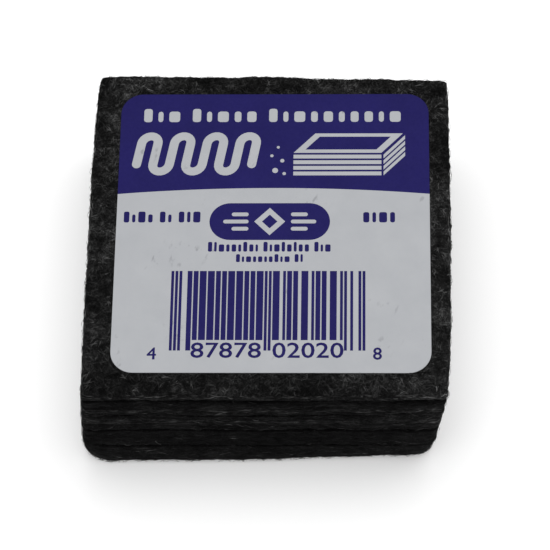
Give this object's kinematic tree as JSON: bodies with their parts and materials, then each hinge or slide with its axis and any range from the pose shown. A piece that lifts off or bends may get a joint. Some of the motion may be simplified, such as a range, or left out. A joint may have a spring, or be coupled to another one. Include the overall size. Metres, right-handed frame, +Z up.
{
  "type": "chalkboard eraser",
  "caption": "Small square felt block eraser: a glued stack of black felt plies with a square rounded-corner paper label on its back.",
  "frame": {"origin": "middle of the block's outline on the plane that the wiping face rests on", "axes": "+Z up through the label, +Y towards the label's head, +X to the right of someone who reads the label"},
  "size_m": [0.0525, 0.0508, 0.0233],
  "materials": {
    "label_paper": "satin coated paper, printed in one dark blue ink",
    "label_adhesive": "clear tacky film",
    "cover_felt": "hard pressed black felt with stray grey fibres",
    "ply_felt": "cut edge of black felt, grey fibres lying along it",
    "wiping_felt": "black felt, worn nap on the wiping face",
    "glue": "dull dark glue soaked into the felt"
  },
  "bodies": {
    "root": {"label_paper": "label_paper", "label_adhesive": "label_adhesive", "cover_felt": "cover_felt", "felt_ply_1": "ply_felt", "felt_ply_2": "ply_felt", "felt_ply_3": "ply_felt", "wiping_felt": "wiping_felt", "glue_film_1": "glue", "glue_film_2": "glue", "glue_film_3": "glue", "glue_film_4": "glue"}
  },
  "joints": []
}
